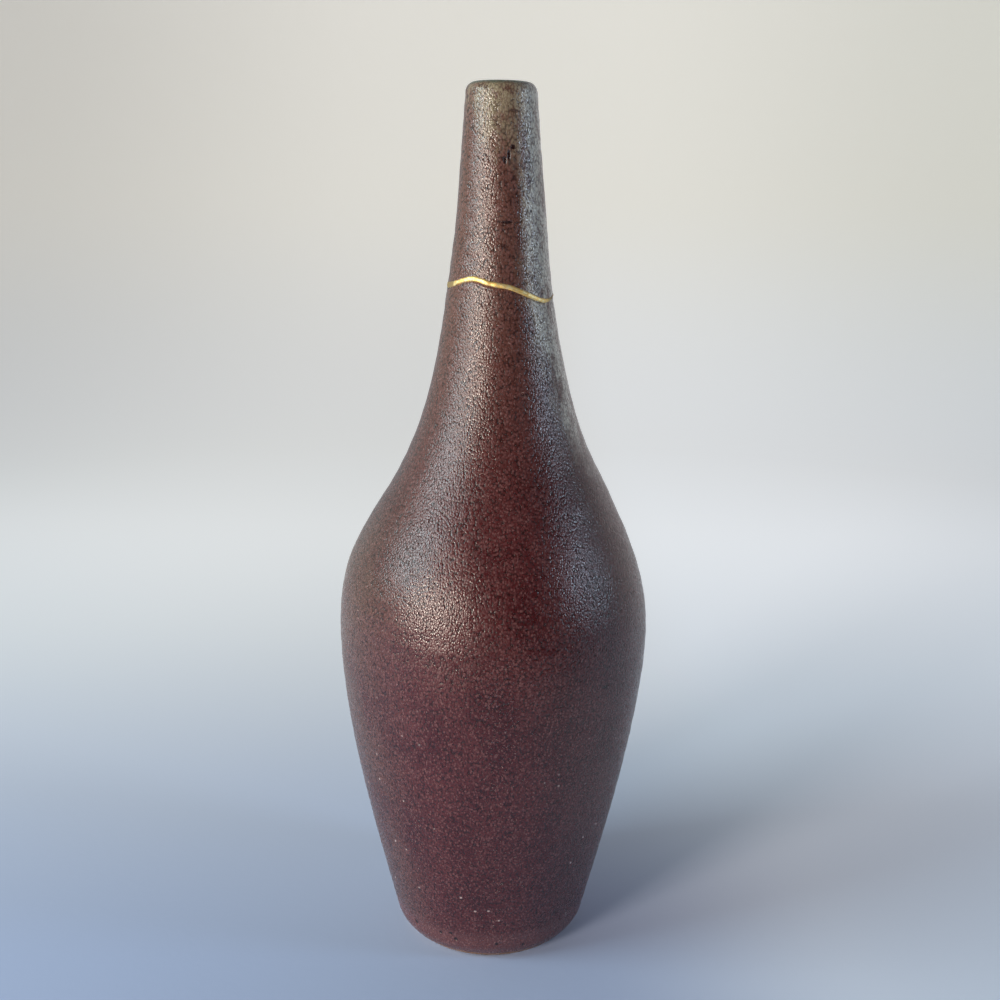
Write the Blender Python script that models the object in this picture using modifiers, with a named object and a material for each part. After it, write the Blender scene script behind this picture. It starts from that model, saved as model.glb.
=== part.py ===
"""Kintsugi vase: a thrown stoneware bottle vase whose snapped neck is joined again with lacquer and gold.

Metres, +Z up. The origin is the middle of the foot, on the surface that the vase stands on.
-Y is the front. Angles round the vase are counted from the front, and grow towards +X.
"""

import math

import bpy
import numpy as np

HEIGHT = 0.3300

# Outside form below the neck, from the foot up: the height of each stretch, and the radius at its top
FOOT_RADIUS = 0.0370
LOWER_BELLY_RISE = 0.0520
LOWER_BELLY_RADIUS = 0.0494
BELLY_RISE = 0.0580
BELLY_RADIUS = 0.0591
SHOULDER_RISE = 0.0430
SHOULDER_RADIUS = 0.0563
NECK_ROOT_RISE = 0.0445
NECK_ROOT_RADIUS = 0.0344

# Neck, from its root to the mouth: two radii on the way, at these shares of the neck's length
LOWER_NECK_SHARE = 0.2380
LOWER_NECK_RADIUS = 0.0244
UPPER_NECK_SHARE = 0.7585
UPPER_NECK_RADIUS = 0.0151
MOUTH_RADIUS = 0.0125

# Foot: the outer edge is trimmed back, and a shallow recess leaves a ring to stand on
FOOT_BEVEL_HEIGHT = 0.0066
FOOT_BEVEL_RUN = 0.0029
FOOT_RING_WIDTH = 0.0080
FOOT_RECESS_DEPTH = 0.0015
FOOT_RECESS_SLOPE_RUN = 0.0015

# Wall: thicker below, as thrown, and square to the outside
FOOT_WALL = 0.0060
MOUTH_WALL = 0.0045
FLOOR_THICKNESS = 0.0070
FLOOR_FILLET = 0.0100
# The crest of the lip lies at this share of the wall, counted from the outside
LIP_CREST_SHARE = 0.73

# Break: how far below the mouth it runs, and its rise above that level at angles round the neck
BREAK_DROP = 0.0705
BREAK_PATH = (
    (-90.0, -0.0002),
    (-62.0, 0.0005),
    (-50.0, 0.0016),
    (-40.0, 0.0025),
    (-30.0, 0.0030),
    (-15.0, 0.0019),
    (-2.0, 0.0010),
    (9.0, 0.0004),
    (20.0, -0.0008),
    (42.0, -0.0036),
    (54.0, -0.0046),
    (64.0, -0.0046),
    (90.0, -0.0034),
    (116.0, -0.0034),
    (140.0, -0.0038),
    (168.0, -0.0024),
    (195.0, -0.0014),
    (218.0, -0.0018),
    (244.0, -0.0003),
)

# Repair: the glue line through the wall, and the gold bead laid over it outside
GLUE_THICKNESS = 0.0007
BEAD_OVERHANG = 0.00055
BEAD_RISE = 0.0004
# Room left between pieces that touch
CLEARANCE = 0.0003

# Fineness of the facets
SEGMENTS = 60
OUTSIDE_RINGS = 26
INSIDE_RINGS = 15
FILLET_STEPS = 3
LIP_OUTER_STEPS = 4
LIP_INNER_STEPS = 2
BEVEL_STEPS = 3
BEAD_STEPS = 6
# Rounds in which the seam's height and radius settle on each other
BEND_ROUNDS = 4

MERGE_DISTANCE = 0.00001
SLOPE_STEP = 0.0001
# The cutter reaches past the neck and the mouth by these
CUTTER_MARGIN = 0.0100
CUTTER_TOP_MARGIN = 0.0200

FULL_TURN = 360.0

BREAK_LEVEL = HEIGHT - BREAK_DROP
LIP_OUTER_ROUND = MOUTH_WALL * LIP_CREST_SHARE
LIP_INNER_ROUND = MOUTH_WALL - LIP_OUTER_ROUND


def smooth_curve(places, values):
    """Return a function for the cubic curve through the values, with no bending at its two ends."""
    places = np.asarray(places, dtype=float)
    values = np.asarray(values, dtype=float)
    step = np.diff(places)
    slope = np.diff(values) / step
    count = len(places)
    balance = np.eye(count)
    turn = np.zeros(count)
    for i in range(1, count - 1):
        balance[i, i - 1 : i + 2] = step[i - 1], 2 * (step[i - 1] + step[i]), step[i]
        turn[i] = 6 * (slope[i] - slope[i - 1])
    bend = np.linalg.solve(balance, turn)

    def curve(at):
        at = np.asarray(at, dtype=float)
        i = np.clip(np.searchsorted(places, at) - 1, 0, count - 2)
        after = (at - places[i]) / step[i]
        before = 1 - after
        straight = before * values[i] + after * values[i + 1]
        bow = (before**3 - before) * bend[i] + (after**3 - after) * bend[i + 1]
        return straight + bow * step[i] ** 2 / 6

    return curve


def form_curve():
    """Return the thrown form's radius as a function of height, before the foot and the lip are trimmed."""
    body = np.cumsum((0.0, LOWER_BELLY_RISE, BELLY_RISE, SHOULDER_RISE, NECK_ROOT_RISE))
    neck = body[-1] + (HEIGHT - body[-1]) * np.array((LOWER_NECK_SHARE, UPPER_NECK_SHARE, 1.0))
    body_radii = (FOOT_RADIUS, LOWER_BELLY_RADIUS, BELLY_RADIUS, SHOULDER_RADIUS, NECK_ROOT_RADIUS)
    neck_radii = (LOWER_NECK_RADIUS, UPPER_NECK_RADIUS, MOUTH_RADIUS)
    return smooth_curve(np.concatenate((body, neck)), body_radii + neck_radii)


def break_curve():
    """Return the break's rise above its level as a function of the angle in degrees, the same each turn."""
    once = np.array(BREAK_PATH)
    turn = np.array((FULL_TURN, 0.0))
    laps = np.concatenate((once - turn, once, once + turn))
    return smooth_curve(laps[:, 0], laps[:, 1])


FORM = form_curve()
BREAK_RISE = break_curve()


def outer_radius(height):
    """Radius of the glazed outside, drawn in at the trimmed foot."""
    inset = np.clip(1 - height / FOOT_BEVEL_HEIGHT, 0, 1)
    return FORM(height) - FOOT_BEVEL_RUN * inset**2


def inner_radius(height):
    """Radius of the hollow: the outside less the wall, whose thickness is taken square to the form."""
    wall = FOOT_WALL + (MOUTH_WALL - FOOT_WALL) * height / HEIGHT
    slope = (FORM(height + SLOPE_STEP) - FORM(height - SLOPE_STEP)) / (2 * SLOPE_STEP)
    return FORM(height) - wall * np.hypot(1, slope)


def break_height(angle, radius):
    """Height of the break: it fans out from the axis, and follows its path where it meets the outside."""
    return BREAK_LEVEL + BREAK_RISE(angle) * radius / outer_radius(BREAK_LEVEL)


def stack(radii, heights):
    """Pair radii with heights as profile points."""
    radii, heights = np.broadcast_arrays(radii, heights)
    return np.column_stack((radii, heights))


def hollow_profile():
    """Points inside the vase, from the middle of its floor up to the lip's inner round."""
    corner_top = FLOOR_THICKNESS + FLOOR_FILLET
    corner = inner_radius(corner_top) - FLOOR_FILLET
    turn = np.linspace(0, math.pi / 2, FILLET_STEPS + 1)
    fillet = stack(corner + FLOOR_FILLET * np.sin(turn), corner_top - FLOOR_FILLET * np.cos(turn))
    heights = np.linspace(corner_top, HEIGHT - LIP_INNER_ROUND, INSIDE_RINGS + 1)[1:]
    return np.concatenate((stack([0.0], FLOOR_THICKNESS), fillet, stack(inner_radius(heights), heights)))


def lip_profile():
    """Points over the lip, from its inner round across the crest to its outer round."""
    crest = FORM(HEIGHT) - LIP_OUTER_ROUND
    start = inner_radius(HEIGHT - LIP_INNER_ROUND)
    rising = np.linspace(0, math.pi / 2, LIP_INNER_STEPS + 1)[1:]
    inner = stack(start + (crest - start) * (1 - np.cos(rising)), HEIGHT - LIP_INNER_ROUND * (1 - np.sin(rising)))
    falling = np.linspace(math.pi / 2, 0, LIP_OUTER_STEPS + 1)[1:]
    heights = HEIGHT - LIP_OUTER_ROUND * (1 - np.sin(falling))
    outer = stack(FORM(heights) - LIP_OUTER_ROUND * (1 - np.cos(falling)), heights)
    return np.concatenate((inner, outer))


def outside_profile():
    """Points down the outside, from below the lip over the foot's bevel to the middle underneath."""
    heights = np.linspace(HEIGHT - LIP_OUTER_ROUND, FOOT_BEVEL_HEIGHT, OUTSIDE_RINGS + 1)[1:]
    bevel = np.linspace(FOOT_BEVEL_HEIGHT, 0, BEVEL_STEPS + 1)[1:]
    heights = np.concatenate((heights, bevel))
    ring = outer_radius(0.0) - FOOT_RING_WIDTH
    recess = ((ring, 0.0), (ring - FOOT_RECESS_SLOPE_RUN, FOOT_RECESS_DEPTH), (0.0, FOOT_RECESS_DEPTH))
    return np.concatenate((stack(outer_radius(heights), heights), recess))


def seam_profile():
    """Closed section of the seam at the break's level: the glue line, and the bead's half ellipse outside it."""
    half_glue = GLUE_THICKNESS / 2
    half_bead = half_glue + BEAD_OVERHANG
    turn = np.linspace(math.pi / 2, -math.pi / 2, BEAD_STEPS + 1)
    bead_heights = BREAK_LEVEL + half_bead * np.sin(turn)
    bead = stack(outer_radius(bead_heights) + CLEARANCE + BEAD_RISE * np.cos(turn), bead_heights)
    edges = BREAK_LEVEL + np.array((-half_glue, half_glue))
    inside = stack(inner_radius(edges), edges)
    under_bead = stack(outer_radius(edges) + CLEARANCE, edges)
    return np.concatenate((bead, under_bead[:1], inside, under_bead[1:]))


def turned(name, points, closed, home):
    """Turn a profile once round the axis and return the object, which goes in the collection home."""
    count = len(points)
    edges = [(i, i + 1) for i in range(count - 1)]
    if closed:
        edges.append((count - 1, 0))
    mesh = bpy.data.meshes.new(name)
    mesh.from_pydata([(radius, 0.0, height) for radius, height in points], edges, [])
    piece = bpy.data.objects.new(name, mesh)
    home.objects.link(piece)
    screw = piece.modifiers.new("turn", "SCREW")
    screw.axis = "Z"
    screw.angle = math.tau
    screw.steps = SEGMENTS
    screw.render_steps = SEGMENTS
    screw.use_merge_vertices = True
    screw.merge_threshold = MERGE_DISTANCE
    screw.use_smooth_shade = True
    return piece


def settled(piece):
    """Replace an object's modifiers by the mesh that they make."""
    graph = bpy.context.evaluated_depsgraph_get()
    mesh = bpy.data.meshes.new_from_object(piece.evaluated_get(graph))
    piece.modifiers.clear()
    piece.data = mesh
    return piece


def polar(mesh):
    """Return a mesh's points as angles from the front in degrees, radii and heights."""
    points = np.empty(3 * len(mesh.vertices))
    mesh.vertices.foreach_get("co", points)
    x, y, height = points.reshape(-1, 3).T
    return np.degrees(np.arctan2(x, -y)), np.hypot(x, y), height


def set_polar(mesh, angle, radius, height):
    """Move a mesh's points to angles from the front in degrees, radii and heights."""
    turn = np.radians(angle)
    points = np.column_stack((radius * np.sin(turn), -radius * np.cos(turn), height))
    mesh.vertices.foreach_set("co", points.ravel())
    mesh.update()


def follow_break(mesh):
    """Bend a level ring so that it runs along the break and keeps its distance to the outside."""
    angle, radius, height = polar(mesh)
    level = height - BREAK_LEVEL
    proud = radius - outer_radius(height)
    for _ in range(BEND_ROUNDS):
        height = break_height(angle, radius) + level
        radius = outer_radius(height) + proud
    set_polar(mesh, angle, radius, height)


def break_cutter(name, lift, home):
    """Return everything above the break's surface lifted by lift, as a cylinder whose lower end is the break."""
    reach = outer_radius(BREAK_LEVEL) + CUTTER_MARGIN
    top = HEIGHT + CUTTER_TOP_MARGIN
    bpy.ops.mesh.primitive_cylinder_add(
        vertices=SEGMENTS,
        radius=reach,
        depth=top - BREAK_LEVEL,
        end_fill_type="TRIFAN",
        location=(0, 0, 0),
    )
    cutter = bpy.context.object
    cutter.name = name
    angle, radius, height = polar(cutter.data)
    height = np.where(height > 0, top, break_height(angle, radius) + lift)
    set_polar(cutter.data, angle, radius, height)
    for used in cutter.users_collection:
        used.objects.unlink(cutter)
    home.objects.link(cutter)
    cutter.hide_render = True
    cutter.display_type = "WIRE"
    return cutter


def cut(piece, cutter, operation):
    """Add a Boolean modifier that keeps what lies outside or inside the cutter."""
    boolean = piece.modifiers.new(operation.lower(), "BOOLEAN")
    boolean.operation = operation
    boolean.object = cutter
    boolean.solver = "EXACT"


def finish(name, colour, roughness, metallic):
    """Return a Principled material."""
    material = bpy.data.materials.new(name)
    material.use_nodes = True
    shader = material.node_tree.nodes["Principled BSDF"]
    shader.inputs["Base Color"].default_value = (*colour, 1.0)
    shader.inputs["Roughness"].default_value = roughness
    shader.inputs["Metallic"].default_value = metallic
    material.diffuse_color = (*colour, 1.0)
    return material


def collection(name):
    """Add a collection to the scene."""
    made = bpy.data.collections.new(name)
    bpy.context.scene.collection.children.link(made)
    return made


def build_shards(home, cutters, glaze):
    """Turn the whole vase twice and cut it at the break: the lower shard, and the snapped-off neck."""
    wall = np.concatenate((hollow_profile(), lip_profile(), outside_profile()))
    joint = GLUE_THICKNESS / 2 + CLEARANCE
    body = turned("vase_body", wall, False, home)
    cut(body, break_cutter("break_above_body", -joint, cutters), "DIFFERENCE")
    neck = turned("neck_fragment", wall, False, home)
    cut(neck, break_cutter("break_below_neck", joint, cutters), "INTERSECT")
    for shard in (body, neck):
        shard.data.materials.append(glaze)


def build_seam(home, gold):
    """Turn the seam's section as a level ring and bend it along the break."""
    seam = settled(turned("gold_seam", seam_profile(), True, home))
    follow_break(seam.data)
    seam.data.materials.append(gold)


def main():
    for old in list(bpy.data.objects):
        bpy.data.objects.remove(old, do_unlink=True)
    home = collection("kintsugi_vase")
    cutters = collection("cutters")
    glaze = finish("plum_glaze", (0.145, 0.062, 0.063), 0.48, 0.0)
    gold = finish("gold_lacquer", (0.79, 0.53, 0.20), 0.30, 1.0)
    build_shards(home, cutters, glaze)
    build_seam(home, gold)


main()
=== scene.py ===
"""Looks of a kintsugi bottle vase: plum stoneware glaze, a snapped-off neck, and the gold seam that joins it.

Metres, +Z up, -Y the front. Angles round the vase are in degrees from the front, and grow towards +X.
"""

import logging
import math
from collections.abc import Callable, Sequence
from dataclasses import dataclass, field
from enum import Enum

import bpy
import numpy as np
from mathutils import Matrix, Vector


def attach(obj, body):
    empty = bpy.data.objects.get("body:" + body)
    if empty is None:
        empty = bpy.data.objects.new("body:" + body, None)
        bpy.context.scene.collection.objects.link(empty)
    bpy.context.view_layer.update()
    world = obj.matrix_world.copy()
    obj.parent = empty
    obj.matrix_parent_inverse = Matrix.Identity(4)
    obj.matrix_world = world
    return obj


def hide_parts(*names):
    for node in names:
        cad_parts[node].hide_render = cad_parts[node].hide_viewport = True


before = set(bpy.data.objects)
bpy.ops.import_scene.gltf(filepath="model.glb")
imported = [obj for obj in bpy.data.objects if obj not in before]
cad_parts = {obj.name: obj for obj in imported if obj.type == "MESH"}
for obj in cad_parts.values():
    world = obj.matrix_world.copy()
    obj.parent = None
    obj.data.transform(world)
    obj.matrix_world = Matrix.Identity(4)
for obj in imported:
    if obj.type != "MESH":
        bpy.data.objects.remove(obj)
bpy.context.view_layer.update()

log = logging.getLogger("kintsugi_vase")

BODY = "root"
MM = 0.001

Colour = tuple[float, float, float]
Curve = Callable[[np.ndarray], np.ndarray]


class Closure(Enum):
    """How a grid's first and last rows end."""

    POLES = "each is one point on the axis"
    RING = "the last row meets the first"
    OPEN = "both are left open"


class Slot(Enum):
    """The record's material slots."""

    GLAZE = "glaze"
    GOLD = "gold"


def smooth_curve(places: Sequence[float], values: Sequence[float]) -> Curve:
    """Fit the natural cubic spline: pieces of cubic with equal slope and bend where they meet, straight at both ends.

    Args:
        places: where the values lie, in rising order.
        values: the values there.

    Returns:
        A function that gives the curve's value at an array of places.
    """
    x = np.asarray(places, dtype=float)
    y = np.asarray(values, dtype=float)
    step = np.diff(x)
    slope = np.diff(y) / step
    inside = np.diag(2 * (step[:-1] + step[1:])) + np.diag(step[1:-1], 1) + np.diag(step[1:-1], -1)
    bend = np.concatenate(([0.0], np.linalg.solve(inside, 6 * np.diff(slope)), [0.0]))

    def curve(at: np.ndarray) -> np.ndarray:
        """Evaluate the spline: the chord, plus a bow made of the two ends' bends.

        Args:
            at: the places asked for.

        Returns:
            The values there.
        """
        i = np.clip(np.searchsorted(x, at) - 1, 0, len(x) - 2)
        after = (at - x[i]) / step[i]
        before = 1 - after
        bow = (before**3 - before) * bend[i] + (after**3 - after) * bend[i + 1]
        return before * y[i] + after * y[i + 1] + bow * step[i] ** 2 / 6

    return curve


def round_curve(path: Sequence[tuple[float, float]]) -> Curve:
    """Fit a smooth curve through values at angles, the same after each full turn.

    Args:
        path: pairs of an angle in degrees and a value there.

    Returns:
        A function that gives the value at an array of angles between -180 and 180.
    """
    once = np.array(path)
    turn = np.array((360.0, 0.0))
    laps = np.concatenate((once - turn, once, once + turn))
    return smooth_curve(laps[:, 0], laps[:, 1])


def ripple(angle: np.ndarray, height: np.ndarray, waves: int, cell: float, seed: int) -> np.ndarray:
    """Give a smooth seeded unevenness: a sum of cosines in angle and height, with random turns and phases.

    Args:
        angle: angles in degrees.
        height: heights in metres.
        waves: how many cosines are summed.
        cell: the usual distance between crests along the height, in metres.
        seed: seed of the random numbers.

    Returns:
        Values of about -1 to 1 over the broadcast shape of angle and height.
    """
    rng = np.random.default_rng(seed)
    total = np.zeros(np.broadcast_shapes(angle.shape, height.shape))
    for _ in range(waves):
        turns = int(rng.integers(0, 7))
        rise = rng.uniform(-1, 1) * math.tau / cell
        total += np.cos(np.radians(angle) * turns + height * rise + rng.uniform(0, math.tau))
    return total / math.sqrt(2 * waves)


def blend_over(at: np.ndarray, low: float, high: float) -> np.ndarray:
    """Rise smoothly from 0 at low to 1 at high: three squares less two cubes of the share of the way."""
    share = np.clip((at - low) / (high - low), 0, 1)
    return share * share * (3 - 2 * share)


@dataclass(frozen=True)
class ThrownForm:
    """The turned form that the potter threw: radii at heights, a wall inside it, a trimmed foot and a round lip."""

    height: float = 0.3300
    body_rises: tuple[float, ...] = (0.0520, 0.0580, 0.0430, 0.0445)
    body_radii: tuple[float, ...] = (0.0370, 0.0494, 0.0591, 0.0563, 0.0344)
    neck_shares: tuple[float, ...] = (0.2380, 0.7585, 1.0)
    neck_radii: tuple[float, ...] = (0.0244, 0.0151, 0.0125)
    foot_wall: float = 0.0060
    mouth_wall: float = 0.0045
    floor: float = 0.0070
    floor_fillet: float = 0.0100
    bevel_height: float = 0.0066
    bevel_run: float = 0.0029
    ring_width: float = 0.0080
    recess: float = 0.0015
    lip_crest_share: float = 0.73
    slope_step: float = 0.0001
    curve: Curve = field(init=False)

    def __post_init__(self) -> None:
        """Fit the outline through its stations."""
        body = np.cumsum((0.0,) + self.body_rises)
        neck = body[-1] + (self.height - body[-1]) * np.array(self.neck_shares)
        fitted = smooth_curve(np.concatenate((body, neck)), self.body_radii + self.neck_radii)
        object.__setattr__(self, "curve", fitted)

    @property
    def lip_outer(self) -> float:
        """Height of the lip's outer round."""
        return self.mouth_wall * self.lip_crest_share

    @property
    def lip_inner(self) -> float:
        """Height of the lip's inner round."""
        return self.mouth_wall - self.lip_outer

    def outer(self, height: np.ndarray) -> np.ndarray:
        """Give the outside's radius: the fitted outline, less a square-law inset over the foot's bevel."""
        inset = np.clip(1 - height / self.bevel_height, 0, 1)
        return self.curve(height) - self.bevel_run * inset**2

    def slope(self, height: np.ndarray) -> np.ndarray:
        """Give the outline's change of radius with height, as a central difference."""
        rise = self.curve(height + self.slope_step) - self.curve(height - self.slope_step)
        return rise / (2 * self.slope_step)

    def inner(self, height: np.ndarray) -> np.ndarray:
        """Give the hollow's radius: the outline less the wall, measured square to the outline."""
        wall = self.foot_wall + (self.mouth_wall - self.foot_wall) * height / self.height
        return self.curve(height) - wall * np.hypot(1, self.slope(height))


@dataclass(frozen=True)
class BreakLine:
    """Where the neck snapped: a rise above a level at each angle, on a surface that fans out from the axis."""

    form: ThrownForm
    drop: float = 0.0705
    path: tuple[tuple[float, float], ...] = (
        (-90.0, -0.2), (-62.0, 0.5), (-50.0, 1.6), (-40.0, 2.5), (-30.0, 3.0), (-15.0, 1.9), (-2.0, 1.0), (9.0, 0.4),
        (20.0, -0.8), (42.0, -3.6), (54.0, -4.6), (64.0, -4.6), (90.0, -3.4), (116.0, -3.4), (140.0, -3.8),
        (168.0, -2.4), (195.0, -1.4), (218.0, -1.8), (244.0, -0.3),
    )
    rounds: int = 6

    @property
    def level(self) -> float:
        """Height that the rises are counted from."""
        return self.form.height - self.drop

    def height(self, angle: np.ndarray, radius: np.ndarray) -> np.ndarray:
        """Give the break's height: its level plus the path's rise, in proportion to the radius."""
        rise = round_curve(self.path)(angle) * MM
        return self.level + rise * radius / self.form.outer(self.level)

    def meet(self, angle: np.ndarray, side: Curve, lift: float) -> np.ndarray:
        """Find where the break, moved up by lift, meets a side of the wall, by repeated substitution.

        Args:
            angle: angles in degrees.
            side: the wall side's radius as a function of height.
            lift: how far the break's surface is moved up, in metres.

        Returns:
            The meeting heights.
        """
        height = np.full(angle.shape, self.level)
        for _ in range(self.rounds):
            height = self.height(angle, side(height)) + lift
        return height


@dataclass(frozen=True)
class HandRelief:
    """What hand and kiln did to the turned form: a wandering axis, slow swells, throwing rings, thick glaze."""

    wander: tuple[tuple[float, float], ...] = (
        (0.000, 0.00), (0.100, 0.00), (0.135, -0.15), (0.155, -0.50), (0.162, -0.27), (0.168, 0.12), (0.175, 0.45),
        (0.182, 1.10), (0.190, 1.28), (0.205, 1.22), (0.235, 1.08), (0.256, 0.65), (0.280, 0.80), (0.303, 0.50),
        (0.330, 0.25),
    )
    swell: float = 0.00016
    swell_cell: float = 0.070
    ring_depth: float = 0.00008
    ring_pitch: float = 0.0068
    ring_cell: float = 0.060
    glaze_wave: float = 0.00005
    glaze_cell: float = 0.009
    foot_fade: float = 0.004

    def sideways(self, height: np.ndarray) -> np.ndarray:
        """Give the axis's shift along +X: a smooth curve through the wander's stations."""
        return smooth_curve(*zip(*self.wander))(height) * MM

    def proud(self, angle: np.ndarray, height: np.ndarray) -> np.ndarray:
        """Give the outside's rise over the turned form: swells, a spiral of throwing rings, and glaze waves.

        Args:
            angle: angles in degrees.
            height: heights in metres.

        Returns:
            The rise in metres, which fades out at the foot.
        """
        swell = self.swell * ripple(angle, height, 7, self.swell_cell, 3)
        turn = height / self.ring_pitch + angle / 360.0
        strength = 0.55 + 0.45 * ripple(angle, height, 5, self.ring_cell, 11)
        rings = self.ring_depth * strength * np.cos(math.tau * turn)
        glaze = self.glaze_wave * ripple(angle * 3.0, height, 16, self.glaze_cell, 7)
        return (swell + rings + glaze) * blend_over(height, 0.0, self.foot_fade)


@dataclass(frozen=True)
class Pot:
    """The form, its break and its relief together, from which each piece takes its surfaces."""

    form: ThrownForm
    broken: BreakLine
    relief: HandRelief
    glue: float = 0.0007

    def place(self, angle: np.ndarray, radius: np.ndarray, height: np.ndarray) -> np.ndarray:
        """Turn polar grids into points: x = r sin a + the axis's shift, y = -r cos a, z = height.

        Args:
            angle: angles in degrees, one for each column.
            radius: radii, one row for each row of the grid.
            height: heights, in the same shape.

        Returns:
            Points as rows, columns and three coordinates.
        """
        turn = np.radians(angle)
        x = radius * np.sin(turn) + self.relief.sideways(height)
        return np.stack((x, -radius * np.cos(turn), height), axis=-1)

    def outside(self, angle: np.ndarray, height: np.ndarray) -> np.ndarray:
        """Give the glazed outside's radius with its relief."""
        return self.form.outer(height) + self.relief.proud(angle, height)


def full_turn(columns: int) -> np.ndarray:
    """Give evenly spaced angles round the vase in degrees, as one row."""
    return np.linspace(-180.0, 180.0, columns, endpoint=False)[None, :]


def between(low: np.ndarray, high: np.ndarray, shares: np.ndarray) -> np.ndarray:
    """Give rows that run from low to high at the shares of the way, one column for each column of low."""
    return low + (high - low) * shares[:, None]


def grid_mesh(name: str, points: np.ndarray, closure: Closure) -> bpy.types.Mesh:
    """Make a mesh of a grid whose columns go once round, with quads between rows and fans at poles.

    Args:
        name: the mesh's name.
        points: rows, columns and three coordinates. Rows go down the outside, and columns towards +X at the front.
        closure: how the first and last rows end.

    Returns:
        The mesh, with its faces pointing out.
    """
    rows, columns = points.shape[:2]
    index = np.arange(rows * columns).reshape(rows, columns)
    vertices = points.reshape(-1, 3)
    if closure is Closure.RING:
        index = np.concatenate((index, index[:1]))
    if closure is Closure.POLES:
        index = index[:-2]
        vertices = np.concatenate((points[1:-1].reshape(-1, 3), points[[0, -1], 0]))
    after = np.roll(index, -1, axis=1)
    faces = np.stack((index[:-1], index[1:], after[1:], after[:-1]), axis=-1).reshape(-1, 4).tolist()
    if closure is Closure.POLES:
        pole = np.full(columns, index.size)
        faces += np.stack((pole, index[0], after[0]), axis=-1).tolist()
        faces += np.stack((index[-1], pole + 1, after[-1]), axis=-1).tolist()
    mesh = bpy.data.meshes.new(name)
    mesh.from_pydata(vertices.tolist(), [], faces)
    mesh.shade_smooth()
    return mesh


def add_piece(mesh: bpy.types.Mesh, material: bpy.types.Material) -> bpy.types.Object:
    """Link a new object at the origin that shows the mesh in the material.

    Args:
        mesh: the object's mesh, whose name it takes.
        material: what it's made of.

    Returns:
        The object.
    """
    piece = bpy.data.objects.new(mesh.name, mesh)
    bpy.context.scene.collection.objects.link(piece)
    mesh.materials.append(material)
    return piece


def report(piece: bpy.types.Object) -> None:
    """Log a finished piece's name and its number of triangles."""
    triangles = sum(len(face.vertices) - 2 for face in piece.data.polygons)
    log.info("%s: %d triangles", piece.name, triangles)


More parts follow.
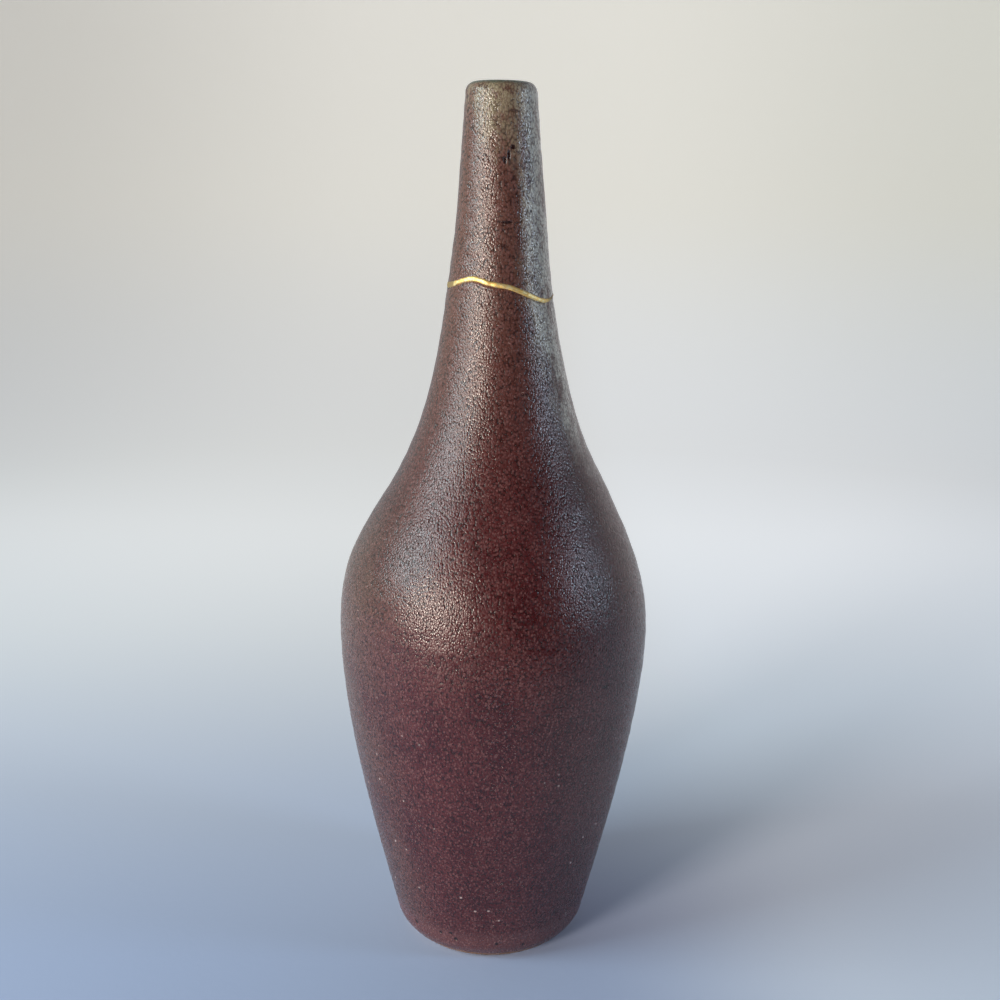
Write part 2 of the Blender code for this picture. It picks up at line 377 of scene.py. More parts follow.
class NodeBench:
    """Lays out the nodes of a material or a world. Most calls add a node and return the socket with its result."""

    def __init__(self, owner: bpy.types.Material | bpy.types.World) -> None:
        """Turn on the owner's nodes.

        Args:
            owner: the material or world whose nodes are laid out.
        """
        owner.use_nodes = True
        self.owner = owner
        self.tree = owner.node_tree

    @property
    def shader(self) -> bpy.types.Node:
        """The material's Principled shader."""
        return self.tree.nodes["Principled BSDF"]

    def add(self, kind: str, inputs: dict, **settings: object) -> bpy.types.Node:
        """Add a node, set its options, and link or set its inputs.

        Args:
            kind: the node's type name.
            inputs: input name or number to a socket or a plain value.
            **settings: the node's own options.

        Returns:
            The node.
        """
        node = self.tree.nodes.new(kind)
        for option, value in settings.items():
            setattr(node, option, value)
        for key, value in inputs.items():
            self.feed(node.inputs[key], value)
        return node

    def feed(self, socket: bpy.types.NodeSocket, value: object) -> None:
        """Link a socket to another socket, or set it to a plain value.

        Args:
            socket: the input.
            value: a socket, a number or a colour of three parts.
        """
        if isinstance(value, bpy.types.NodeSocket):
            self.tree.links.new(value, socket)
        elif isinstance(value, tuple) and len(value) == 3 and socket.type == "RGBA":
            socket.default_value = (*value, 1.0)
        else:
            socket.default_value = value

    def place(self) -> bpy.types.NodeSocket:
        """Give the point on the piece, in metres."""
        return self.add("ShaderNodeTexCoord", {}).outputs["Object"]

    def axes(self, vector: bpy.types.NodeSocket) -> tuple[bpy.types.NodeSocket, ...]:
        """Split a vector into x, y and z."""
        return tuple(self.add("ShaderNodeSeparateXYZ", {0: vector}).outputs)

    def math(self, operation: str, a: object, b: object = 0.0) -> bpy.types.NodeSocket:
        """Work out one sum on two values."""
        return self.add("ShaderNodeMath", {0: a, 1: b}, operation=operation).outputs[0]

    def scaled(self, vector: object, by: tuple[float, float, float]) -> bpy.types.NodeSocket:
        """Multiply a vector's three parts."""
        return self.add("ShaderNodeVectorMath", {0: vector, 1: by}, operation="MULTIPLY").outputs[0]

    def noise(
        self, vector: object, cell: float, detail: float = 2.0, rough: float = 0.5, tall: float = 1.0
    ) -> bpy.types.NodeSocket:
        """Add noise with cells of a real size.

        Args:
            vector: the point, in metres.
            cell: size of its cells, in metres.
            detail: how many finer layers are added.
            rough: strength of the finer layers.
            tall: how many times as tall as wide a cell is.

        Returns:
            Values round 0.5.
        """
        place = self.scaled(vector, (1 / cell, 1 / cell, 1 / (cell * tall)))
        inputs = {"Vector": place, "Scale": 1.0, "Detail": detail, "Roughness": rough}
        return self.add("ShaderNodeTexNoise", inputs).outputs[0]

    def cells(self, vector: object, cell: float, feature: str = "F1") -> bpy.types.Node:
        """Add a Voronoi pattern with cells of a real size and return the node."""
        place = self.scaled(vector, (1 / cell,) * 3)
        return self.add("ShaderNodeTexVoronoi", {"Vector": place, "Scale": 1.0}, feature=feature)

    def band(self, value: object, low: float, high: float) -> bpy.types.NodeSocket:
        """Rise smoothly from 0 at low to 1 at high, or fall where low is the larger.

        Args:
            value: the value that is read.
            low: where the result is 0.
            high: where it is 1.

        Returns:
            The result.
        """
        if low < high:
            ends = {"Value": value, 1: low, 2: high, 3: 0.0, 4: 1.0}
        else:
            ends = {"Value": value, 1: high, 2: low, 3: 1.0, 4: 0.0}
        return self.add("ShaderNodeMapRange", ends, interpolation_type="SMOOTHSTEP").outputs[0]

    def blend(self, share: object, a: object, b: object) -> bpy.types.NodeSocket:
        """Mix two colours.

        Args:
            share: how much of b there is.
            a: the colour at share 0.
            b: the colour at share 1.

        Returns:
            The mixed colour.
        """
        node = self.add("ShaderNodeMix", {}, data_type="RGBA")
        self.feed(node.inputs["Factor"], share)
        colours = [socket for socket in node.inputs if socket.type == "RGBA"]
        self.feed(colours[0], a)
        self.feed(colours[1], b)
        return next(socket for socket in node.outputs if socket.type == "RGBA")

    def total(self, *parts: tuple[object, float]) -> bpy.types.NodeSocket:
        """Add values, each times its weight.

        Args:
            *parts: pairs of a value and its weight.

        Returns:
            The sum.
        """
        result: object = 0.0
        for value, weight in parts:
            node = self.add("ShaderNodeMath", {0: value, 1: weight, 2: result}, operation="MULTIPLY_ADD")
            result = node.outputs[0]
        return result

    def largest(self, *values: object) -> bpy.types.NodeSocket:
        """Keep the largest of some values.

        Args:
            *values: the values.

        Returns:
            The largest.
        """
        result = values[0]
        for value in values[1:]:
            result = self.math("MAXIMUM", result, value)
        return result

    def near(self, vector: object, centre: Vector, radii: tuple[float, float, float]) -> bpy.types.NodeSocket:
        """Give 1 inside an ellipsoid and 0 outside, with a soft edge.

        Args:
            vector: the point.
            centre: the ellipsoid's centre.
            radii: its half sizes.

        Returns:
            The share.
        """
        inverse = tuple(1 / radius for radius in radii)
        offset = tuple(-c / radius for c, radius in zip(centre, radii))
        inputs = {0: vector, 1: inverse, 2: offset}
        moved = self.add("ShaderNodeVectorMath", inputs, operation="MULTIPLY_ADD").outputs[0]
        distance = self.add("ShaderNodeVectorMath", {0: moved}, operation="LENGTH").outputs["Value"]
        return self.band(distance, 1.15, 0.7)

    def finish(self, colour: object, roughness: object, height: object, depth: float) -> bpy.types.Material:
        """Feed the shader.

        Args:
            colour: base colour.
            roughness: roughness.
            height: bump height, where 1 stands for depth.
            depth: that height in metres.

        Returns:
            The finished material.
        """
        bump = self.add("ShaderNodeBump", {"Height": height, "Strength": 1.0, "Distance": depth})
        self.feed(self.shader.inputs["Base Color"], colour)
        self.feed(self.shader.inputs["Roughness"], roughness)
        self.feed(self.shader.inputs["Normal"], bump.outputs[0])
        return self.owner


@dataclass(frozen=True)
class PlumGlaze:
    """Satin plum glaze of a reduction firing: pale speckle on maroon, ash at the mouth, bare clay under the foot."""

    pot: Pot
    plum: Colour = (0.094, 0.019, 0.020)
    plum_dark: Colour = (0.066, 0.009, 0.011)
    plum_warm: Colour = (0.122, 0.048, 0.036)
    # Painted sheen: greyer mauve laid on the lower left of the belly.
    painted_sheen_mauve: Colour = (0.100, 0.044, 0.036)
    pale: Colour = (0.230, 0.105, 0.100)
    dark: Colour = (0.020, 0.005, 0.005)
    white: Colour = (0.560, 0.420, 0.390)
    ash: Colour = (0.290, 0.235, 0.155)
    # Pale grey of the ash on the right of the neck: partly ash, partly a painted reflection of the cool side light.
    grey_ash_and_painted_reflection: Colour = (0.680, 0.610, 0.500)
    olive: Colour = (0.110, 0.110, 0.070)
    clay: Colour = (0.330, 0.175, 0.105)
    foot_red: Colour = (0.115, 0.038, 0.038)
    roughness: float = 0.14
    matt_more: float = 0.22
    specular: float = 0.62
    grain: float = 0.00072
    fine: float = 1 / 1500
    stray: float = 0.00022
    slow_cell: float = 0.0160
    patch_cell: float = 0.0045
    streak_cell: float = 0.0050
    speck_cell: float = 0.0052
    crackle: float = 0.00150
    relief: float = 0.00014
    pinholes: tuple[tuple[float, float, float], ...] = (
        (-46.6, 10.1, 0.95), (-28.2, 10.6, 0.72), (-21.6, 11.7, 0.75), (-18.9, 9.1, 0.85), (4.9, 8.4, 0.70),
        (20.6, 6.6, 0.68), (101.0, 9.0, 0.70), (148.0, 7.6, 0.60), (-96.0, 10.8, 0.70), (-141.0, 8.9, 0.60),
        (40.8, 286.0, 0.55), (-23.6, 304.8, 0.55), (17.0, 307.6, 0.90),
    )
    dashes: tuple[tuple[float, float, float, float], ...] = (
        (43.5, 119.1, 2.1, 0.5), (11.0, 304.9, 0.6, 1.9), (5.5, 303.2, 0.6, 1.4), (8.6, 282.2, 1.8, 0.5),
    )

    def material(self) -> bpy.types.Material:
        """Build the glaze.

        Returns:
            The material, whose patterns all read the point on the piece.
        """
        bench = NodeBench(bpy.data.materials.new("plum_glaze"))
        place = bench.place()
        x, y, z = bench.axes(place)
        angle = bench.math("ARCTAN2", x, bench.math("MULTIPLY", y, -1.0))
        slow = bench.noise(place, self.slow_cell, 3.0, 0.55, 1.6)
        patch = bench.noise(place, self.patch_cell, 2.0, 0.55)
        inputs = {"Vector": bench.scaled(place, (1 / self.fine,) * 3), "Scale": 1.0, "Detail": 1.0}
        fine = bench.add("ShaderNodeTexNoise", inputs)
        inputs = {0: fine.outputs["Color"], 1: (self.stray,) * 3, 2: place}
        moved = bench.add("ShaderNodeVectorMath", inputs, operation="MULTIPLY_ADD")
        beads = bench.cells(bench.scaled(moved.outputs[0], (1.0, 1.0, 0.75)), self.grain)
        apart = beads.outputs["Distance"]
        grain = bench.total((bench.math("MULTIPLY", apart, apart), -1.0), (1.0, 1.0))
        matt, lot = bench.axes(beads.outputs["Color"])[:2]

        base = bench.blend(bench.band(slow, 0.34, 0.64), self.plum_dark, self.plum)
        # Painted sheen: the lower left of the belly is greyed towards mauve in place of the broad reflection of the
        # bright room on that side.
        painted_sheen_mask = bench.math("MULTIPLY", bench.band(angle, -0.40, -1.05), bench.band(angle, -2.9, -2.1))
        painted_sheen_mask = bench.math("MULTIPLY", painted_sheen_mask, bench.band(z, 0.20, 0.15))
        base = bench.blend(bench.math("MULTIPLY", painted_sheen_mask, bench.band(slow, 0.20, 0.55)), base, self.painted_sheen_mauve)
        base = bench.blend(bench.band(z, 0.17, 0.27), base, self.plum_warm)
        pale = bench.math("MULTIPLY", bench.band(lot, 0.35, 1.05), bench.band(grain, 0.62, 0.92))
        base = bench.blend(bench.math("MULTIPLY", pale, 0.65), base, self.pale)
        # Painted shade: the low gaps between the beads, where the bump is lowest, are darkened.
        base = bench.blend(bench.math("MULTIPLY", bench.band(grain, 0.76, 0.38), 0.80), base, self.dark)
        base = bench.blend(self.white_specks(bench, place, z), base, self.white)
        ash, ash_mask = self.ash_layer(bench, place, angle, z, grain, patch)
        base = bench.blend(ash_mask, base, ash)
        base = bench.blend(bench.band(z, 0.016, 0.010), base, bench.blend(pale, self.foot_red, self.pale))
        holes = self.holes(bench, place)
        base = bench.blend(holes, base, self.dark)
        edge = bench.total((z, 1.0), (patch, 0.0016))
        bare = bench.band(edge, 0.0035, 0.0024)
        base = bench.blend(bare, base, self.clay)

        gloss = bench.total((self.roughness, 1.0), (matt, self.matt_more), (slow, 0.06))
        rough = bench.total((gloss, 1.0), (ash_mask, -0.02), (bare, 0.35))
        height = bench.total((grain, 1.0), (fine.outputs[0], 0.20), (patch, 0.30), (lot, 0.40), (holes, -1.6))
        bench.shader.inputs["Specular IOR Level"].default_value = self.specular
        return bench.finish(base, rough, height, self.relief)

    def white_specks(self, bench: NodeBench, place: object, z: object) -> bpy.types.NodeSocket:
        """Give sparse pin-sized white specks, more of them low on the belly: the cores of some Voronoi cells.

        Args:
            bench: the bench of the glaze.
            place: the point on the piece.
            z: height.

        Returns:
            How far the white covers the plum.
        """
        cells = bench.cells(place, self.speck_cell)
        core = bench.band(cells.outputs["Distance"], 0.12, 0.07)
        chosen = bench.axes(cells.outputs["Color"])[0]
        few = bench.math("GREATER_THAN", chosen, 0.72)
        low = bench.total((bench.band(z, 0.12, 0.05), 0.75), (0.15, 1.0))
        return bench.math("MULTIPLY", bench.math("MULTIPLY", core, few), low)

    def ash_layer(
        self, bench: NodeBench, place: object, angle: object, z: object, grain: object, patch: object
    ) -> tuple[bpy.types.NodeSocket, bpy.types.NodeSocket]:
        """Build the wood-ash colours: khaki round the mouth, grey runs down the right of the neck, an olive rim. The
        grey on the right is partly the ash's own colour and partly a painted reflection of the cool light from that
        side.

        Args:
            bench: the bench of the glaze.
            place: the point on the piece.
            angle: angle from the front, in radians.
            z: height.
            grain: the fine grain.
            patch: the patches' noise.

        Returns:
            The ash's colour, and how far it covers the plum.
        """
        streak = bench.noise(place, self.streak_cell, 3.0, 0.6, 4.0)
        height = bench.total((z, 1.0), (streak, 0.040), (patch, 0.014), (bench.band(angle, -0.2, -0.9), -0.016))
        mouth = bench.band(height, 0.322, 0.356)
        edge = bench.total((angle, 1.0), (bench.band(z, 0.27, 0.20), -0.45), (streak, 0.5))
        right = bench.math("MULTIPLY", bench.band(edge, 0.54, 1.06), bench.band(angle, 2.6, 1.9))
        run_low = bench.band(bench.total((z, 1.0), (streak, 0.05)), 0.206, 0.250)
        runs_and_painted_reflection = bench.math("MULTIPLY", bench.math("MULTIPLY", right, run_low), bench.band(streak, 0.34, 0.56))
        cover = bench.largest(mouth, runs_and_painted_reflection)
        broken = bench.band(bench.total((grain, 0.6), (patch, 0.5)), 0.52, 0.74)
        cover = bench.math("MULTIPLY", cover, bench.total((broken, 0.60), (0.40, 1.0)))
        crackle = bench.cells(bench.scaled(place, (1.0, 1.0, 0.4)), self.crackle, "DISTANCE_TO_EDGE")
        lines = bench.band(bench.total((crackle.outputs["Distance"], 1.0), (patch, 0.35)), 0.16, 0.34)
        cover = bench.math("MULTIPLY", cover, bench.total((lines, 0.62), (0.38, 1.0)))
        # The right of the neck takes the pale grey, partly ash and partly painted reflection.
        colour = bench.blend(bench.band(angle, 0.3, 0.9), self.ash, self.grey_ash_and_painted_reflection)
        rim = bench.band(bench.total((z, 1.0), (patch, 0.0012)), 0.3290, 0.3302)
        colour = bench.blend(rim, colour, self.olive)
        return colour, bench.largest(cover, rim)

    def holes(self, bench: NodeBench, place: object) -> bpy.types.NodeSocket:
        """Mark the pinholes over the foot and on the neck, and the dashes on the belly and near the mouth.

        Args:
            bench: the bench of the glaze.
            place: the point on the piece.

        Returns:
            1 inside a mark and 0 outside.
        """
        marks = [(angle, height, size, size) for angle, height, size in self.pinholes]
        found = []
        for angle, height, wide, tall in marks + list(self.dashes):
            radius = float(self.pot.form.outer(np.array(height * MM)))
            side = float(self.pot.relief.sideways(np.array(height * MM)))
            turn = math.radians(angle)
            centre = Vector((radius * math.sin(turn) + side, -radius * math.cos(turn), height * MM))
            found.append(bench.near(place, centre, (wide * MM, wide * MM, tall * MM)))
        return bench.largest(*found)


@dataclass(frozen=True)
class GoldLacquer:
    """Burnished gold powder on lacquer: bright where rubbed, brownish where the powder lies thin."""

    gold: Colour = (1.00, 0.64, 0.20)
    bright: Colour = (1.00, 0.84, 0.46)
    thin: Colour = (0.30, 0.21, 0.11)
    brushed_cell: float = 0.00110
    powder_cell: float = 0.00028
    slow_cell: float = 0.00600
    metallic: float = 0.70
    roughness: float = 0.40
    relief: float = 0.00003

    def material(self) -> bpy.types.Material:
        """Build the gold.

        Returns:
            The material.
        """
        bench = NodeBench(bpy.data.materials.new("gold_lacquer"))
        place = bench.place()
        brushed = bench.noise(place, self.brushed_cell, 3.0, 0.6)
        powder = bench.noise(place, self.powder_cell, 2.0, 0.6)
        slow = bench.noise(place, self.slow_cell, 2.0, 0.5)
        x, y, z = bench.axes(place)
        angle = bench.math("ARCTAN2", x, bench.math("MULTIPLY", y, -1.0))
        left_end = bench.math("MULTIPLY", bench.band(angle, -0.98, -1.06), bench.band(angle, -1.9, -1.6))
        right_end = bench.math("MULTIPLY", bench.band(angle, 0.95, 1.30), bench.band(angle, 2.2, 1.8))
        ends = bench.largest(left_end, right_end)
        base = bench.blend(bench.band(brushed, 0.42, 0.68), self.gold, self.bright)
        worn = bench.math("MULTIPLY", bench.band(slow, 0.50, 0.74), bench.band(brushed, 0.44, 0.60))
        base = bench.blend(bench.math("MULTIPLY", worn, 0.55), base, self.thin)
        base = bench.blend(bench.math("MULTIPLY", ends, 0.9), base, self.thin)
        rough = bench.total((self.roughness, 1.0), (brushed, 0.14), (powder, 0.10), (ends, 0.2))
        height = bench.total((brushed, 1.0), (powder, 0.25), (slow, 0.6))
        bench.shader.inputs["Metallic"].default_value = self.metallic
        return bench.finish(base, rough, height, self.relief)


@dataclass
class LowerShard:
    """The large shard: floor, belly, shoulder and lower neck, up to the break."""

    pot: Pot
    columns: int = 384
    outside_rows: int = 150
    inside_rows: int = 50
    fillet_rows: int = 6
    break_rows: int = 3
    bevel_rows: int = 12
    floor_rows: int = 4
    edge_round: float = 0.0004
    bevel_crowding: float = 0.8

    def surface(self) -> np.ndarray:
        """Work out the whole skin as one grid, from the middle of the floor inside to the middle underneath.

        Each row is a radius and a height at every angle. The wall rows share out the height between the floor
        and the break, so that the last of them runs along the break.

        Returns:
            The points.
        """
        form, broken = self.pot.form, self.pot.broken
        angle = full_turn(self.columns)
        flat = np.zeros(angle.shape)
        down = -self.pot.glue / 2
        corner_top = form.floor + form.floor_fillet
        corner = form.inner(np.array(corner_top)) - form.floor_fillet
        rows: list[tuple[np.ndarray, np.ndarray]] = []

        floor = np.linspace(0, 1, self.floor_rows + 1)
        rows.append((between(flat, flat + corner, floor), between(flat + form.floor, flat + form.floor, floor)))
        turn = np.linspace(0, math.pi / 2, self.fillet_rows + 1)[1:, None]
        radius = corner + form.floor_fillet * np.sin(turn) + flat
        rows.append((radius, corner_top - form.floor_fillet * np.cos(turn) + flat))
        inner_top = broken.meet(angle, form.inner, down)
        height = between(flat + corner_top, inner_top, np.linspace(0, 1, self.inside_rows + 1)[1:])
        rows.append((form.inner(height), height))
        outer_top = broken.meet(angle, form.outer, down)
        shares = np.linspace(0, 1, self.break_rows + 2)[1:-1]
        radius = between(form.inner(inner_top), self.pot.outside(angle, outer_top), shares)
        rows.append((radius, broken.height(angle, radius) + down))
        height = between(outer_top, flat + form.bevel_height, np.linspace(0, 1, self.outside_rows + 1))
        rows.append((self.pot.outside(angle, height), height))
        shares = np.linspace(0, 1, self.bevel_rows + 1)[1:] ** self.bevel_crowding
        height = between(flat + form.bevel_height, flat, shares)
        inset = self.edge_round * np.clip(1 - height / self.edge_round, 0, 1) ** 2
        rows.append((self.pot.outside(angle, height) - inset, height))
        rows.append(self.underside(flat))
        radii = np.concatenate([radius + 0 * angle for radius, height in rows])
        heights = np.concatenate([height + 0 * angle for radius, height in rows])
        return self.pot.place(angle, radii, heights)

    def underside(self, flat: np.ndarray) -> tuple[np.ndarray, np.ndarray]:
        """Work out the standing ring and its shallow recess.

        Args:
            flat: a row of zeros, one for each angle.

        Returns:
            Radii and heights of its rows.
        """
        form = self.pot.form
        ring = float(form.outer(np.array(0.0))) - form.ring_width
        steps = ((ring, 0.0), (ring - 0.4 * form.recess, 0.35 * form.recess), (ring - form.recess, form.recess))
        inward = [(share * (ring - form.recess), form.recess) for share in (0.75, 0.5, 0.25, 0.0)]
        radii, heights = np.array(steps + tuple(inward)).T
        return radii[:, None] + flat, heights[:, None] + flat

    def build(self, glaze: bpy.types.Material) -> bpy.types.Object:
        """Make the piece, which stands for its solid, and dress it in the glaze.

        Args:
            glaze: the glaze.

        Returns:
            The piece.
        """
        piece = add_piece(grid_mesh("glazed_body", self.surface(), Closure.POLES), glaze)
        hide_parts("vase_body")
        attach(piece, BODY)
        return piece


@dataclass
class NeckShard:
    """The small shard: the upper neck from the break to its rounded lip, open down the middle."""

    pot: Pot
    columns: int = 360
    outside_rows: int = 130
    inside_rows: int = 60
    lip_outer_rows: int = 14
    lip_inner_rows: int = 8
    break_rows: int = 3

    def surface(self) -> np.ndarray:
        """Work out the skin as one ring of rows: up the bore, over the lip, down the outside, back along the break.

        The lip is two quarter ellipses that meet on its crest.

        Returns:
            The points.
        """
        form, broken = self.pot.form, self.pot.broken
        angle = full_turn(self.columns)
        flat = np.zeros(angle.shape)
        up = self.pot.glue / 2
        inner_foot = broken.meet(angle, form.inner, up)
        outer_foot = broken.meet(angle, form.outer, up)
        lip_start = form.height - form.lip_inner
        lip_end = form.height - form.lip_outer
        bore = between(inner_foot, flat + lip_start, np.linspace(0, 1, self.inside_rows + 1))
        rows = [(form.inner(bore), bore)]
        crest = form.curve(np.array(form.height)) - form.lip_outer
        start = form.inner(np.array(lip_start))
        turn = np.linspace(0, math.pi / 2, self.lip_inner_rows + 1)[1:, None]
        radius = start + (crest - start) * (1 - np.cos(turn)) + flat
        rows.append((radius, lip_start + form.lip_inner * np.sin(turn) + flat))
        turn = np.linspace(math.pi / 2, 0, self.lip_outer_rows + 1)[1:, None]
        height = lip_end + form.lip_outer * np.sin(turn) + flat
        thick = self.pot.relief.proud(angle, height) * (1 - np.sin(turn))
        rows.append((form.curve(height) - form.lip_outer * (1 - np.cos(turn)) + thick, height))
        height = between(flat + lip_end, outer_foot, np.linspace(0, 1, self.outside_rows + 1)[1:])
        rows.append((self.pot.outside(angle, height), height))
        shares = np.linspace(0, 1, self.break_rows + 2)[1:-1]
        radius = between(self.pot.outside(angle, outer_foot), form.inner(inner_foot), shares)
        rows.append((radius, broken.height(angle, radius) + up))
        radii = np.concatenate([radius + 0 * angle for radius, height in rows])
        heights = np.concatenate([height + 0 * angle for radius, height in rows])
        return self.pot.place(angle, radii, heights)

    def build(self, glaze: bpy.types.Material) -> bpy.types.Object:
        """Make the piece, which stands for its solid, and dress it in the glaze.

        Args:
            glaze: the glaze.

        Returns:
            The piece.
        """
        piece = add_piece(grid_mesh("glazed_neck", self.surface(), Closure.RING), glaze)
        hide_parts("neck_fragment")
        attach(piece, BODY)
        return piece


@dataclass
class GoldSeam:
    """The repair: a glue line through the wall, and a brushed bead of gold over it whose width varies."""

    pot: Pot
    columns: int = 900
    bead_rows: int = 22
    glue_rows: int = 4
    bury: float = 0.00006
    fullness: float = 3.2
    wobble: float = 0.00010
    brush_marks: float = 0.00006
    half_widths: tuple[tuple[float, float], ...] = (
        (-90.0, 0.90), (-72.0, 1.25), (-58.0, 0.95), (-40.0, 0.92), (-20.0, 1.00), (5.0, 0.88), (28.0, 1.02),
        (45.0, 0.92), (62.0, 0.62), (90.0, 0.55), (125.0, 0.80), (160.0, 0.95), (200.0, 0.85), (235.0, 1.00),
    )
    rises: tuple[tuple[float, float], ...] = (
        (-110.0, 0.40), (-88.0, 0.16), (-66.0, 0.17), (-52.0, 0.44), (0.0, 0.46), (48.0, 0.42), (66.0, 0.24),
        (90.0, 0.20), (120.0, 0.38), (180.0, 0.45),
    )

    def surface(self) -> np.ndarray:
        """Work out the seam as a section carried along the break.

        Across the bead v runs from 1 at its upper edge to -1 at its lower one. The gold stands above the glaze by
        rise times (1 - |v| to the power fullness), so its top is broad and its edges are steep.

        Returns:
            The points.
        """
        form, broken = self.pot.form, self.pot.broken
        angle = full_turn(self.columns)
        line = broken.meet(angle, form.outer, 0.0)
        uneven = ripple(angle * 6.0, line, 9, 0.01, 21)
        half = round_curve(self.half_widths)(angle) * MM + self.wobble * uneven
        across = np.sin(np.linspace(math.pi / 2, -math.pi / 2, self.bead_rows + 1))[:, None]
        drift = self.wobble * ripple(angle * 7.0, line, 9, 0.01, 22)
        height = line + half * across + drift * (1 - across**2)
        crown = 1 - np.abs(across) ** self.fullness
        marks = self.brush_marks * ripple(angle * 9.0, height, 12, 0.004, 23)
        rise = round_curve(self.rises)(angle) * MM
        lift = crown * (rise * (0.85 + 0.125 * uneven) + marks) - self.bury * (1 - crown)
        bead = (self.pot.outside(angle, height) + lift, height)
        half_glue = self.pot.glue / 2
        under = self.pot.outside(angle, line) - self.bury
        rows = [bead]
        for side, order in ((-half_glue, 1), (half_glue, -1)):
            inner_line = broken.meet(angle, form.inner, side)
            shares = np.linspace(0, 1, self.glue_rows + 1)[::order]
            radius = between(under, form.inner(inner_line), shares)
            rows.append((radius, broken.height(angle, radius) + side))
        radii = np.concatenate([radius + 0 * angle for radius, height in rows])
        heights = np.concatenate([height + 0 * angle for radius, height in rows])
        return self.pot.place(angle, radii, heights)

    def build(self, gold: bpy.types.Material) -> bpy.types.Object:
        """Make the piece, which stands for its solid, and dress it in gold.

        Args:
            gold: the gold.

        Returns:
            The piece.
        """
        piece = add_piece(grid_mesh("gold_line", self.surface(), Closure.RING), gold)
        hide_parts("gold_seam")
        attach(piece, BODY)
        return piece


@dataclass(frozen=True)
class SoftLight:
    """A soft rectangle of light that hangs at an angle round the vase and a height, facing its middle."""

    name: str
    angle: float
    elevation: float
    distance: float
    width: float
    tall: float
    power: float
    tint: Colour

    def build(self, aim: Vector) -> bpy.types.Object:
        """Hang the light.

        Args:
            aim: the point that it faces.

        Returns:
            The light's object.
        """
        lamp = bpy.data.lights.new(self.name, "AREA")
        lamp.shape = "RECTANGLE"
        lamp.size = self.width
        lamp.size_y = self.tall
        lamp.energy = self.power
        lamp.color = self.tint
        light = bpy.data.objects.new(self.name, lamp)
        bpy.context.scene.collection.objects.link(light)
        turn, lift = math.radians(self.angle), math.radians(self.elevation)
        away = Vector((math.sin(turn) * math.cos(lift), -math.cos(turn) * math.cos(lift), math.sin(lift)))
        light.location = aim + away * self.distance
        light.rotation_euler = away.to_track_quat("Z", "Y").to_euler()
        light.visible_camera = False
        return light


@dataclass(frozen=True)
class RoomGlow:
    """A soft glow of the room about a direction, gone where the cosine of the angle from it is fades_at."""

    towards: tuple[float, float, float]
    fades_at: float
    light: Colour


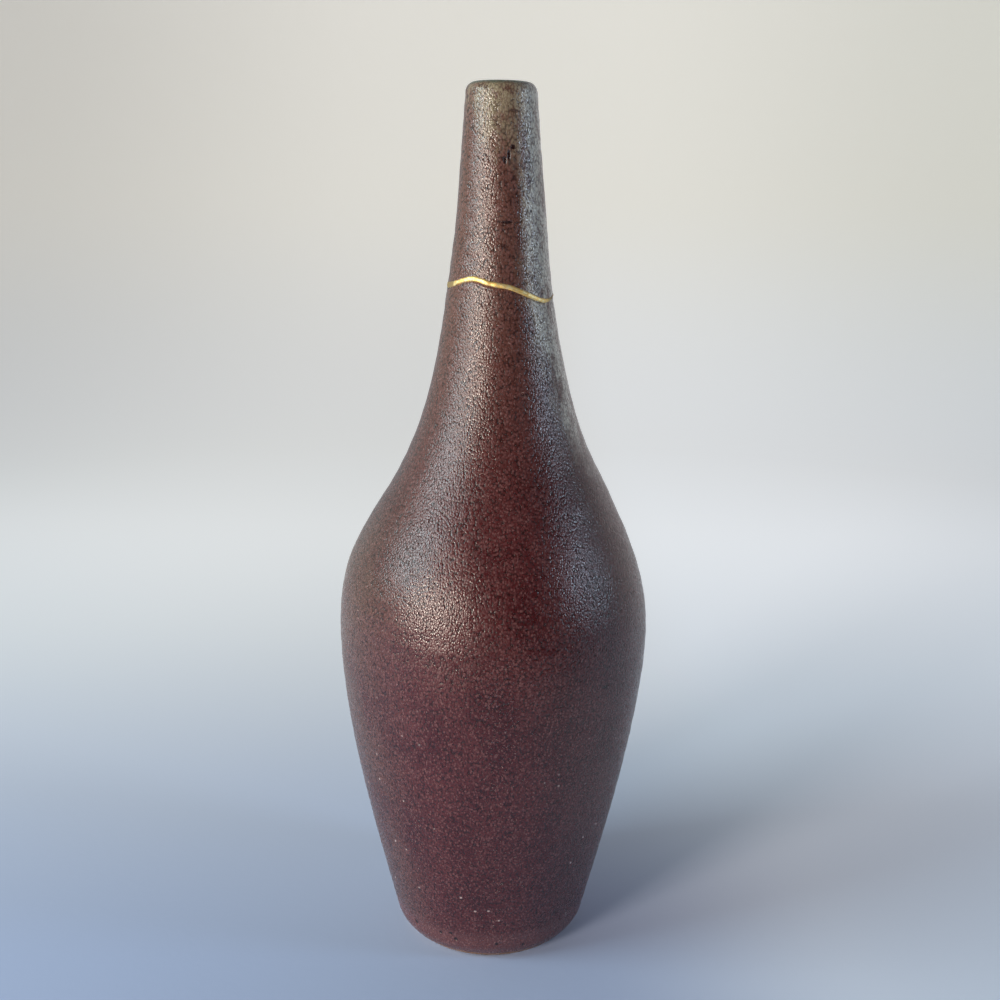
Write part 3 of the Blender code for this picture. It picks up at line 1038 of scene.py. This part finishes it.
@dataclass
class Studio:
    """Pale floor that sweeps up into a wall all round, soft window-like lights, and the camera."""

    floor_radius: float = 0.95
    sweep_radius: float = 0.70
    wall_height: float = 2.2
    # Painted shade on the floor in front of the vase.
    front_painted_shade: Colour = (0.24, 0.26, 0.32)
    # Painted cool shade on the floor near the vase.
    near_painted_shade: Colour = (0.40, 0.48, 0.70)
    floor_tint: Colour = (0.62, 0.66, 0.75)
    # Painted light on the floor to the right of the vase.
    right_painted_light: Colour = (0.80, 0.85, 1.00)
    wall_tint: Colour = (0.86, 0.82, 0.76)
    # Strength of the painted glow that floor and wall give off.
    painted_wall_glow: float = 0.55
    fibre_cell: float = 0.004
    cloud_cell: float = 0.35
    fibre_relief: float = 0.00006
    room_tint: Colour = (0.02, 0.02, 0.022)
    glows: tuple[RoomGlow, ...] = (
        RoomGlow((-1.0, 0.1, 0.0), 0.3, (0.34, 0.41, 0.35)),
        RoomGlow((-0.7, 0.7, 0.1), 0.3, (0.16, 0.22, 0.20)),
        RoomGlow((0.3, 1.0, 0.0), 0.1, (0.22, 0.24, 0.30)),
        RoomGlow((0.5, 0.85, 0.1), 0.60, (0.44, 0.40, 0.35)),
    )
    columns: int = 96
    sweep_rows: int = 24
    frame_pixels: float = 1000.0
    focal_pixels: float = 1200.0
    sensor: float = 36.0
    camera_distance: float = 0.4476
    camera_height: float = 0.2950
    camera_side: float = 0.0019
    pitch: float = 14.74
    roll: float = 0.86
    sees_from: float = 0.01
    sees_to: float = 20.0
    lights: tuple[SoftLight, ...] = (
        SoftLight("window", -42.0, 8.0, 1.05, 0.24, 0.32, 8.4, (1.0, 0.89, 0.77)),
        SoftLight("sky", -71.0, 27.0, 1.10, 0.48, 0.48, 6.8, (0.76, 0.95, 1.0)),
        SoftLight("side_fill", 78.0, 13.5, 1.15, 0.22, 0.34, 3.3, (0.62, 0.80, 1.0)),
    )

    def paper(self) -> bpy.types.Material:
        """Build the pale matt paper of floor and wall, cool below and warm above. The cool blue near the vase, the
        darker floor in front, the lighter floor to the right and the glow that dims towards the sides are painted
        light and shade.

        Returns:
            The material.
        """
        bench = NodeBench(bpy.data.materials.new("studio_paper"))
        place = bench.place()
        side, depth, height = bench.axes(place)
        fibre = bench.noise(place, self.fibre_cell, 3.0, 0.6)
        cloud = bench.noise(place, self.cloud_cell, 2.0, 0.5)
        # Painted shade: the floor near the vase is darker and bluer.
        tint = bench.blend(bench.band(depth, -0.08, 0.35), self.near_painted_shade, self.floor_tint)
        # Painted light: the floor to the right of the vase is lightened.
        tint = bench.blend(bench.band(side, 0.03, 0.15), tint, self.right_painted_light)
        # Painted shade: the floor in front of the vase is darkened.
        tint = bench.blend(bench.band(depth, -0.12, -0.42), tint, self.front_painted_shade)
        tint = bench.blend(bench.band(height, 0.0, 0.30), tint, self.wall_tint)
        tint = bench.blend(bench.math("MULTIPLY", bench.band(cloud, 0.3, 0.7), 0.05), tint, self.wall_tint)
        rough = bench.total((0.75, 1.0), (fibre, 0.1))
        bench.shader.inputs["Specular IOR Level"].default_value = 0.2
        # Painted glow: the wall and the floor far ahead and behind give off light of their own, though they are no
        # lamps.
        bench.shader.inputs["Emission Color"].default_value = (*self.wall_tint, 1.0)
        ahead, behind = bench.band(depth, -0.50, -0.95), bench.band(depth, -0.10, 0.60)
        reach = bench.largest(bench.band(height, 0.0, 0.15), ahead, behind)
        # Painted shade: the glow is dimmed by up to 30 % towards the sides.
        painted_side_shade = bench.total((bench.band(bench.math("ABSOLUTE", side), 0.15, 0.80), -0.30), (1.0, 1.0))
        painted_glow_strength = bench.math("MULTIPLY", bench.math("MULTIPLY", reach, painted_side_shade), self.painted_wall_glow)
        bench.feed(bench.shader.inputs["Emission Strength"], painted_glow_strength)
        return bench.finish(tint, rough, fibre, self.fibre_relief)

    def build_stage(self) -> list[bpy.types.Object]:
        """Make the floor's disc and the wall that sweeps up from it, as turned surfaces about the vase.

        Returns:
            The two stage objects.
        """
        angle = full_turn(self.columns)
        turn = np.radians(angle)
        paper = self.paper()
        reach = np.linspace(self.floor_radius, 0, self.sweep_rows)[:, None]
        curl = np.linspace(math.pi / 2, 0, self.sweep_rows)[:, None]
        edge = self.floor_radius + self.sweep_radius
        wall_radii = np.concatenate(([[edge]], self.floor_radius + self.sweep_radius * np.sin(curl)))
        wall_heights = np.concatenate(([[self.wall_height]], self.sweep_radius * (1 - np.cos(curl))))
        made = []
        for name, radii, heights in (("floor", reach, reach * 0), ("backdrop", wall_radii, wall_heights)):
            points = np.stack((radii * np.sin(turn), -radii * np.cos(turn), heights + 0 * turn), axis=-1)
            surface = add_piece(grid_mesh(name, points, Closure.OPEN), paper)
            made.append(surface)
        backdrop = made[1]
        backdrop.visible_diffuse = False
        backdrop.visible_glossy = False
        backdrop.visible_shadow = False
        return made

    def build_room(self) -> None:
        """Fill the room with soft glows: each is full towards its own direction and fades with the angle from it."""
        world = bpy.data.worlds.new("room")
        bench = NodeBench(world)
        towards = bench.add("ShaderNodeTexCoord", {}).outputs["Generated"]
        light: object = self.room_tint
        for glow in self.glows:
            facing = bench.add("ShaderNodeVectorMath", {0: towards, 1: glow.towards}, operation="DOT_PRODUCT")
            share = bench.band(facing.outputs["Value"], glow.fades_at, 1.0)
            inputs = {0: share, 1: glow.light, 2: light}
            light = bench.add("ShaderNodeVectorMath", inputs, operation="MULTIPLY_ADD").outputs[0]
        bench.feed(bench.tree.nodes["Background"].inputs["Color"], light)
        bpy.context.scene.world = world

    def build_camera(self) -> bpy.types.Object:
        """Set up the camera: level position, pitch down, and the photograph's slight roll.

        Returns:
            The camera's object.
        """
        data = bpy.data.cameras.new("view")
        data.sensor_width = self.sensor
        data.lens = self.sensor * self.focal_pixels / self.frame_pixels
        data.clip_start = self.sees_from
        data.clip_end = self.sees_to
        camera = bpy.data.objects.new("view", data)
        bpy.context.scene.collection.objects.link(camera)
        tilt = Matrix.Rotation(math.radians(90.0 - self.pitch), 4, "X")
        roll = Matrix.Rotation(math.radians(self.roll), 4, "Z")
        stand = Matrix.Translation((self.camera_side, -self.camera_distance, self.camera_height))
        camera.matrix_world = stand @ tilt @ roll
        bpy.context.scene.camera = camera
        return camera

    def build(self, aim: Vector) -> None:
        """Set up stage, room, lights and camera, and report the stage and the lights.

        Args:
            aim: the point that the lights face.
        """
        for surface in self.build_stage():
            log.info("stage: %s", surface.name)
        self.build_room()
        for light in self.lights:
            log.info("light: %s", light.build(aim).name)
        self.build_camera()
        bpy.context.scene.view_settings.view_transform = "Standard"


def main() -> None:
    """Build the pieces in order, report each, and set up the studio."""
    logging.basicConfig(level=logging.INFO, format="%(name)s %(message)s")
    form = ThrownForm()
    pot = Pot(form, BreakLine(form), HandRelief())
    glaze = PlumGlaze(pot).material()
    gold = GoldLacquer().material()
    report(LowerShard(pot).build(glaze))
    report(NeckShard(pot).build(glaze))
    report(GoldSeam(pot).build(gold))
    Studio().build(Vector((0.0, 0.0, form.height / 2)))


if __name__ == "__main__":
    main()
